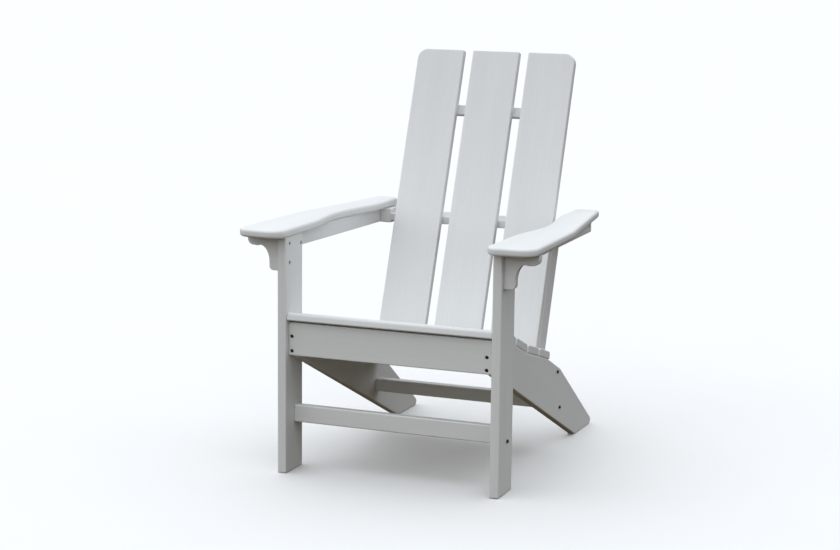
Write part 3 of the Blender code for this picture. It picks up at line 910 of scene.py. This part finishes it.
# %% Back slats
BACK_LENGTH_TOP = 1.031
BACK_SLAT_BELOW_RAIL = 0.003
BACK_CORNER = 0.026
up_the_back = (0, math.sin(BACK_RAKE), math.cos(BACK_RAKE))
out_of_back = (0, -math.cos(BACK_RAKE), math.sin(BACK_RAKE))
back_plane = axes(ACROSS, up_the_back, out_of_back, (0, *back_point(0, BOARD)))
slat_foot = LOWER_RAIL_AT - BACK_SLAT_BELOW_RAIL
for name, step, left_round, right_round in (("left", -1, BACK_CORNER, 0), ("centre", 0, 0, 0),
                                            ("right", 1, 0, BACK_CORNER)):
    x_from = step * BACK_PITCH - BACK_SLAT_WIDTH / 2
    x_to = x_from + BACK_SLAT_WIDTH
    corners = [(x_from, slat_foot, 0), (x_to, slat_foot, 0),
               (x_to, BACK_LENGTH_TOP, right_round), (x_from, BACK_LENGTH_TOP, left_round)]
    piece = board(f"back_slat_{name}", filleted(corners, 14), BOARD, back_plane,
                  up_the_back, out_of_back)
print("back slat:", len(piece.data.polygons), "faces")

# %% Rails of the back
UPPER_RAIL_INSET = 0.010


def back_section(along_from, along_to, behind_from, behind_to):
    """Side view of a board that stands square to the slats."""
    return [back_point(along, behind) for along, behind in
            rectangle(along_from, along_to, behind_from, behind_to)]


behind = BOARD + GAP
lower = back_section(LOWER_RAIL_AT, LOWER_RAIL_AT + BOARD, behind, behind + LOWER_RAIL_WIDTH)
board_along_x("back_rail_lower", lower, -between_stringers, between_stringers,
              ACROSS, up_the_back)
upper = back_section(UPPER_RAIL_AT, UPPER_RAIL_AT + UPPER_RAIL_HEIGHT, behind, behind + BOARD)
reach = BACK_OUT - UPPER_RAIL_INSET
board_along_x("back_rail_upper", upper, -reach, reach, ACROSS, out_of_back)
middle = rectangle(RAIL_FRONT, RAIL_FRONT + MIDDLE_RAIL_WIDTH, MIDDLE_RAIL_BOTTOM, rail_top)
board_along_x("back_rail_middle", middle, -BLOCK_IN + GAP, BLOCK_IN - GAP, ACROSS, UPWARD)
print(f"the upper rail is {2000 * reach:.0f} mm long")

# %% Posts of the back
POST_DEPTH = 0.055
far_side = behind + POST_DEPTH
post_top = MIDDLE_RAIL_BOTTOM - GAP
ends = [(post_top + depth * math.sin(BACK_RAKE)) / math.cos(BACK_RAKE)
        for depth in (behind, far_side)]
post_foot = LOWER_RAIL_AT + BOARD + GAP
post_view = [back_point(post_foot, behind), back_point(post_foot, far_side),
             back_point(ends[1], far_side), back_point(ends[0], behind)]
board_along_x("back_post_left", post_view, -BACK_OUT, -BACK_OUT + BOARD, up_the_back, ACROSS)
board_along_x("back_post_right", post_view, BACK_OUT - BOARD, BACK_OUT, up_the_back, ACROSS)
print(f"the posts' front edges are {ends[0] - post_foot:.3f} m long")

# %% [markdown]
# ## Arms
#
# An arm is the board that hands touch, so it has the largest rounding. It is broad over the
# leg, bends gently inwards on its outer side, and draws in to a narrow tail beside the
# back. It could be a subdivided cage, but a router follows a template here, so the outline
# is drawn as arcs and one smooth S. Under the arm a strip runs from the leg to the rear, a
# block ties that strip to the middle rail, and a moulded bracket props the overhang outside
# the leg. The bracket is drawn from the front and the other three in plan, on the plane of
# the arms. The left ones mirror the outline, so no mesh is turned inside out.


# %% Smooth curves
def eased(y_from, x_from, y_to, x_to, steps=16):
    """Points of a smooth S between two straight stretches, without its first end."""
    curve = []
    for step in range(1, steps + 1):
        share = step / steps
        ease = (1 - math.cos(math.pi * share)) / 2
        curve.append((x_from + (x_to - x_from) * ease, y_from + (y_to - y_from) * share, 0))
    return curve


def quarter(centre_u, centre_v, radius_u, radius_v, from_degrees, to_degrees, steps=14):
    """Points of an elliptical quarter."""
    points = []
    for step in range(steps + 1):
        angle = math.radians(from_degrees + (to_degrees - from_degrees) * step / steps)
        points.append((centre_u + radius_u * math.cos(angle),
                       centre_v + radius_v * math.sin(angle)))
    return points


print("a quarter has", len(quarter(0, 0, 1, 1, 0, 90)), "points")


# %% The arm, seen from above
ARM_EDGE = 0.0072
ARM_FRONT = (-0.049, -0.041)        # y of the inner and the outer front corner
ARM_REAR = (0.650, 0.660)           # y of the inner and the outer rear corner
ARM_FRONT_ROUNDS = (0.032, 0.036)
ARM_REAR_ROUNDS = (0.018, 0.0082)
ARM_OUTER_OVERHANG = 0.090
ARM_INNER_OVERHANG = 0.006
ARM_TAPER = 0.012
ARM_BEND_Y = 0.280
ARM_BEND_ROUND = 0.300
ARM_WAIST = (0.320, 0.019)          # y of the waist, and how far it draws in
ARM_WAIST_START_Y = 0.130
ARM_TAIL_Y = 0.545
ARM_TAIL_COVER = 0.009
ARM_TAIL_OVERHANG = 0.019


def arm_outline(side):
    """Plan of an arm, from its inner front corner round by the outer side and the tail."""
    outer = LEG_OUT + ARM_OUTER_OVERHANG
    inner = LEG_IN - ARM_INNER_OVERHANG
    waist_y, waist_draw = ARM_WAIST
    waist = inner + waist_draw
    tail_in = BLOCK_IN + ARM_TAIL_COVER
    tail_out = support_inner_x(ARM_REAR[1]) + BOARD + ARM_TAIL_OVERHANG
    corners = [(inner, ARM_FRONT[0], ARM_FRONT_ROUNDS[0]),
               (outer, ARM_FRONT[1], ARM_FRONT_ROUNDS[1]),
               (outer - ARM_TAPER, ARM_BEND_Y, ARM_BEND_ROUND),
               (tail_out, ARM_REAR[1], ARM_REAR_ROUNDS[1]),
               (tail_in, ARM_REAR[0], ARM_REAR_ROUNDS[0]), (tail_in, ARM_TAIL_Y, 0)]
    corners += eased(ARM_TAIL_Y, tail_in, waist_y, waist)
    corners += eased(waist_y, waist, ARM_WAIST_START_Y, inner)
    return [(side * u, v) for u, v in filleted(corners, 12)]


print("an arm's outline has", len(arm_outline(1)), "points")

# %% The strip and the block under the arm, seen from above
BLOCK_SETBACK = 0.002


def support_outline(side):
    """Plan of the strip, from behind the bracket to the rear."""
    front = BRACKET_SETBACK + BOARD + GAP
    inner = [(support_inner_x(y), y) for y in (front, LEG_DEPTH, SUPPORT_REAR)]
    outer = [(x + BOARD, y) for x, y in reversed(inner)]
    return [(side * u, v) for u, v in inner + outer]


def block_outline(side):
    """Plan of the block, between the middle rail's end and the strip."""
    front = RAIL_FRONT + BLOCK_SETBACK
    rear = RAIL_FRONT + MIDDLE_RAIL_WIDTH
    plan = [(BLOCK_IN, front), (support_inner_x(front) - GAP, front),
            (support_inner_x(rear) - GAP, rear), (BLOCK_IN, rear)]
    return [(side * u, v) for u, v in plan]


print("a strip has", len(support_outline(1)), "corners, a block", len(block_outline(1)))

# %% The bracket, seen from the front
BRACKET_REACH = 0.083
BRACKET_HEIGHT = 0.082
BRACKET_FOOT = 0.0268
FOOT_ROUND = 0.010
HOLLOW_BASE = 0.020
HOLLOW_WIDTH, HOLLOW_HEIGHT = 0.024, 0.038
BEAD_WIDTH, BEAD_DROP = 0.006, 0.0018
OVOLO = 0.0155
OVOLO_DROP = 0.001


def bracket_outline():
    """Front view of a bracket, u outwards from the leg and v up from its foot.

    A hollow quarter rises from the foot, a small bead ends it, and a round quarter, the
    ovolo, carries it out under the arm.
    """
    foot_arc = quarter(BRACKET_FOOT - FOOT_ROUND, FOOT_ROUND, FOOT_ROUND, FOOT_ROUND, -90, 0, 8)
    hollow_out = BRACKET_FOOT + HOLLOW_WIDTH
    hollow = quarter(hollow_out, HOLLOW_BASE, HOLLOW_WIDTH, HOLLOW_HEIGHT, 180, 90)
    shelf = HOLLOW_BASE + HOLLOW_HEIGHT
    bead = (hollow_out + BEAD_WIDTH, shelf - BEAD_DROP)
    ovolo = quarter(BRACKET_REACH - OVOLO, shelf + OVOLO - OVOLO_DROP, OVOLO, OVOLO, -90, 0, 10)
    return [(0, 0), *foot_arc, *hollow, bead, *ovolo,
            (BRACKET_REACH, BRACKET_HEIGHT), (0, BRACKET_HEIGHT)]


print("a bracket's outline has", len(bracket_outline()), "points")

# %% Arms, supports, blocks and brackets
BLOCK_HEIGHT = 0.037
arm_run = (0, math.cos(ARM_FALL), -math.sin(ARM_FALL))
arm_up = (0, math.sin(ARM_FALL), math.cos(ARM_FALL))


def board_in_arm_plane(name, outline, z_from, z_to, lengthwise, facing, edge=EDGE):
    """A board drawn in plan, on the plane of the arms, which falls a little to the rear."""
    lift = (LEG_DEPTH / 2) * math.tan(ARM_FALL)
    place = axes(ACROSS, arm_run, arm_up, (0, 0, z_from + lift))
    return board(name, outline, z_to - z_from, place, lengthwise, facing, edge)


for name, side in SIDES:
    board_in_arm_plane(f"arm_{name}", arm_outline(side), ARM_UNDERSIDE, ARM_UNDERSIDE + BOARD,
                       arm_run, arm_up, ARM_EDGE)
    board_in_arm_plane(f"arm_support_{name}", support_outline(side), TOP - SUPPORT_HEIGHT, TOP,
                       arm_run, ACROSS)
    board_in_arm_plane(f"arm_block_{name}", block_outline(side), TOP - BLOCK_HEIGHT, TOP,
                       arm_run, ACROSS)
    bracket = [(side * (LEG_OUT + GAP + u), TOP - BRACKET_HEIGHT + v)
               for u, v in bracket_outline()]
    plane = axes(ACROSS, UPWARD, (0, -1, 0), (0, BRACKET_SETBACK + BOARD, 0))
    piece = board(f"arm_bracket_{name}", bracket, BOARD, plane, UPWARD, REARWARD, EDGE / 2)
print("bracket:", len(piece.data.polygons), "faces")

# %% [markdown]
# ## Screw heads
#
# All screws share one pattern, a low dome with a square drive, in two heights of head. So
# two heads are modelled, and a Geometry Nodes tree stands one of them on every point of a
# group. The points carry `looks`, the way the head faces, and a seeded random turn sets
# each drive as a screwdriver would have left it: at any angle.


# %% The two screw heads
DOME_RISE = 0.0009
SHANK_RADIUS = 0.0020
SHANK_END = 0.0080
DRIVE_WIDTH = 0.0029
DRIVE_DEPTH = 0.0018


def screw_head(height):
    """Head and a stub of shank, with a square drive sunk in the dome. Top of head at z = 0."""
    dome = [(HEAD_RADIUS * math.sin(a), DOME_RISE * (math.cos(a) - 1))
            for a in (math.radians(d) for d in (90, 75, 60, 45, 30, 15, 0.5))]
    profile = [(SHANK_RADIUS, -SHANK_END), (SHANK_RADIUS, -height), (HEAD_RADIUS, -height)]
    head = object_from_bmesh("screw_head", turned(profile + dome, 28))
    block = bmesh.new()
    bmesh.ops.create_cube(block, size=1.0)
    bmesh.ops.scale(block, vec=(DRIVE_WIDTH, DRIVE_WIDTH, 2 * DRIVE_DEPTH), verts=block.verts)
    drive = object_from_bmesh("drive", block)
    cut_out(head, drive)
    return in_scene("screw_head_model", finished_mesh(head, drive))


HEAD = screw_head(HEAD_HEIGHT)
CAP_HEAD = screw_head(CAP_HEIGHT)
print("a screw head has", len(HEAD.data.polygons), "faces")


# %% Geometry Nodes: heads on points
def screw_tree():
    tree = new_tree("screws_on_points", (("Points", "Geometry"), ("Head", "Object"),
                                         ("Sunk", "Float"), ("Seed", "Int"),
                                         ("Steel", "Material")), "Screws")
    given = add_node(tree, "NodeGroupInput").outputs
    looks = add_node(tree, "GeometryNodeInputNamedAttribute", {"Name": "looks"},
                     data_type="FLOAT_VECTOR").outputs["Attribute"]
    sink = add_node(tree, "ShaderNodeMath", {0: given["Sunk"], 1: -1.0},
                    operation="MULTIPLY").outputs["Value"]
    inward = add_node(tree, "ShaderNodeVectorMath", {0: looks, "Scale": sink},
                      operation="SCALE").outputs["Vector"]
    seated = add_node(tree, "GeometryNodeSetPosition",
                      {"Geometry": given["Points"], "Offset": inward}).outputs["Geometry"]
    facing = add_node(tree, "FunctionNodeAlignRotationToVector", {"Vector": looks},
                      axis="Z").outputs["Rotation"]
    # on a Random Value node set to numbers, socket 3 is the largest value
    angle = add_node(tree, "FunctionNodeRandomValue", {"Seed": given["Seed"], 3: math.tau},
                     data_type="FLOAT").outputs[1]
    turn = add_node(tree, "FunctionNodeAxisAngleToRotation",
                    {"Axis": (0.0, 0.0, 1.0), "Angle": angle}).outputs["Rotation"]
    spun = add_node(tree, "FunctionNodeRotateRotation",
                    {"Rotation": facing, "Rotate By": turn},
                    rotation_space="LOCAL").outputs["Rotation"]
    head = add_node(tree, "GeometryNodeObjectInfo", {"Object": given["Head"]})
    placed = add_node(tree, "GeometryNodeInstanceOnPoints",
                      {"Points": seated, "Instance": head.outputs["Geometry"],
                       "Rotation": spun}).outputs["Instances"]
    real = add_node(tree, "GeometryNodeRealizeInstances", {"Geometry": placed})
    finished = add_node(tree, "GeometryNodeSetMaterial",
                        {"Geometry": real.outputs["Geometry"], "Material": given["Steel"]})
    add_node(tree, "NodeGroupOutput", {"Screws": finished.outputs["Geometry"]})
    return tree


SCREW_TREE = screw_tree()
print("the screw tree has", len(SCREW_TREE.nodes), "nodes")

# %% The CAD nodes that each group of screws stands for
FIRST_SEED = 3
hands = ("left", "right")
stands_for = {
    "apron": [f"screw_apron_{h}_{l}" for h in hands for l in ("upper", "lower")],
    "bracket": [f"screw_bracket_{h}_{l}" for h in hands for l in ("upper", "lower")],
    "support": [f"screw_support_{h}_{l}" for h in hands for l in ("front", "rear")],
    "stretcher": [f"screw_{k}_{h}" for h in hands for k in ("stretcher", "rear_stretcher")],
    "rail": [f"screw_lower_rail_{h}" for h in hands],
    "leg": [f"screw_leg_{h}_{l}" for h in hands for l in ("upper", "lower")],
    "back": [f"screw_back_{s}_{l}" for s in ("left", "centre", "right") for l in ("a", "b")],
}
print("CAD screws:", sum(len(nodes) for nodes in stands_for.values()))

# %% Stand the screws in their recesses
for seed, (group, listed) in enumerate(screws.items(), FIRST_SEED):
    mesh = bpy.data.meshes.new(f"{group}_screw_points")
    mesh.from_pydata([tuple(at) for at, _, _ in listed], [], [])
    store(mesh, "looks", "FLOAT_VECTOR", "POINT", [tuple(out) for _, out, _ in listed])
    points = in_scene(f"{group}_screw_points", mesh)
    head, sunk = (CAP_HEAD, -CAP_HEIGHT) if group in PROUD else (HEAD, HEAD_RECESS)
    use_tree(points, SCREW_TREE, Head=head, Sunk=sunk, Seed=seed, Steel=SCREW_STEEL)
    final = finished_mesh(points)
    finish_piece(f"{group}_screws", final, "screws", *stands_for[group])
    print(group, "screws:", len(listed), "heads,", len(final.polygons), "faces")
bpy.data.objects.remove(HEAD)
bpy.data.objects.remove(CAP_HEAD)

# %% [markdown]
# ## Floor and light
#
# The chair stands on a plain pale floor under a soft, slightly cool dome, as in a studio
# with a white tent. The light comes from above, so undersides fall into a dim warm shade.
# The floor is rolled on with matt white paint, which gives the eye no glint and only the
# faintest clouds. It takes the chair's shadow but throws no light back up: a studio would
# lay dark cloth under the arms for the same effect.


# %% Floor
FLOOR_HALF = 60.0
FLOOR_DROP = 0.0005       # below the feet, so that the two never share a plane


def pale_floor(name):
    made, tree, shader = new_material(name)
    at = add_node(tree, "ShaderNodeTexCoord").outputs["Object"]
    patches = add_node(tree, "ShaderNodeTexNoise",
                       {"Vector": at, "Scale": 1.7, "Detail": 3.0}).outputs["Fac"]
    colour = add_node(tree, "ShaderNodeMix", {"Factor": patches, 6: linear("f2f2f1"),
                                              7: linear("f7f7f7")}, data_type="RGBA")
    tree.links.new(colour.outputs[2], shader.inputs["Base Color"])
    shader.inputs["Roughness"].default_value = 0.85
    shader.inputs["Specular IOR Level"].default_value = 0.15
    return made


floor_mesh = bpy.data.meshes.new("floor")
corners = rectangle(-FLOOR_HALF, FLOOR_HALF, -FLOOR_HALF, FLOOR_HALF)
floor_mesh.from_pydata([(x, y, 0) for x, y in corners], [], [(0, 1, 2, 3)])
floor = in_scene("floor", floor_mesh)
floor.location.z = -FLOOR_DROP
floor.data.materials.append(pale_floor("matt_white_floor_paint"))
floor.visible_diffuse = False
floor.visible_glossy = False
floor.visible_shadow = False
print("floor:", 2 * FLOOR_HALF, "m across")

# %% Soft dome of light
GROUND = (0.060, 0.044, 0.021, 1.0)
HORIZON = (1.00, 1.025, 1.02, 1.0)
ZENITH = (1.12, 1.17, 1.24, 1.0)
SIDE_LEAN = (-0.28, -0.03, 0.0)     # the tent is brighter on the left and a little in front
world = bpy.data.worlds.new("studio_tent")
bpy.context.scene.world = world
world.use_nodes = True
sky = world.node_tree
background = sky.nodes["Background"]
direction = add_node(sky, "ShaderNodeTexCoord").outputs["Generated"]
parts = add_node(sky, "ShaderNodeSeparateXYZ", {"Vector": direction}).outputs
height = add_node(sky, "ShaderNodeMapRange",
                  {"Value": parts["Z"], "From Min": -0.02, "From Max": 0.20},
                  interpolation_type="SMOOTHSTEP").outputs["Result"]
low = add_node(sky, "ShaderNodeMix", {"Factor": height, 6: GROUND, 7: HORIZON},
               data_type="RGBA").outputs[2]
lift = add_node(sky, "ShaderNodeMapRange",
                {"Value": parts["Z"], "From Min": 0.05, "From Max": 0.95}).outputs["Result"]
whole = add_node(sky, "ShaderNodeMix", {"Factor": lift, 6: low, 7: ZENITH},
                 data_type="RGBA").outputs[2]
lean = add_node(sky, "ShaderNodeVectorMath", {0: direction, 1: SIDE_LEAN},
                operation="DOT_PRODUCT").outputs["Value"]
strength = add_node(sky, "ShaderNodeMath", {0: lean, 1: 1.0}).outputs["Value"]
sky.links.new(whole, background.inputs["Color"])
sky.links.new(strength, background.inputs["Strength"])
bpy.context.scene.view_settings.view_transform = "Standard"
print("tent light made with", len(sky.nodes), "nodes")

# %% [markdown]
# ## Camera
#
# A long lens stands nearly five metres off, in front of the chair and towards its right
# side, and looks down by ten degrees. The camera is turned by hand a touch, so it rolls a
# little. Its view is built from three axes: forward, right and up.

# %% Camera
LENS = 87.66
CAMERA_AT = (1.7845, -4.2362, 1.3074)
yaw, pitch, roll = (math.radians(angle) for angle in (21.906, 9.989, 0.634))
forward = Vector((-math.sin(yaw) * math.cos(pitch), math.cos(yaw) * math.cos(pitch),
                  -math.sin(pitch)))
level = Vector((math.cos(yaw), math.sin(yaw), 0))
above = level.cross(forward)
right = math.cos(roll) * level + math.sin(roll) * above
up = math.cos(roll) * above - math.sin(roll) * level
lens = bpy.data.cameras.new("long_lens")
lens.lens = LENS
lens.sensor_width = 36
camera = in_scene("camera", lens)
stand_at = Matrix.Translation(Vector(CAMERA_AT) + Vector((0, SHIFT, 0)))
camera.matrix_world = stand_at @ Matrix((right, up, -forward)).transposed().to_4x4()
bpy.context.scene.camera = camera
print("camera at", [round(value, 3) for value in stand_at.translation])
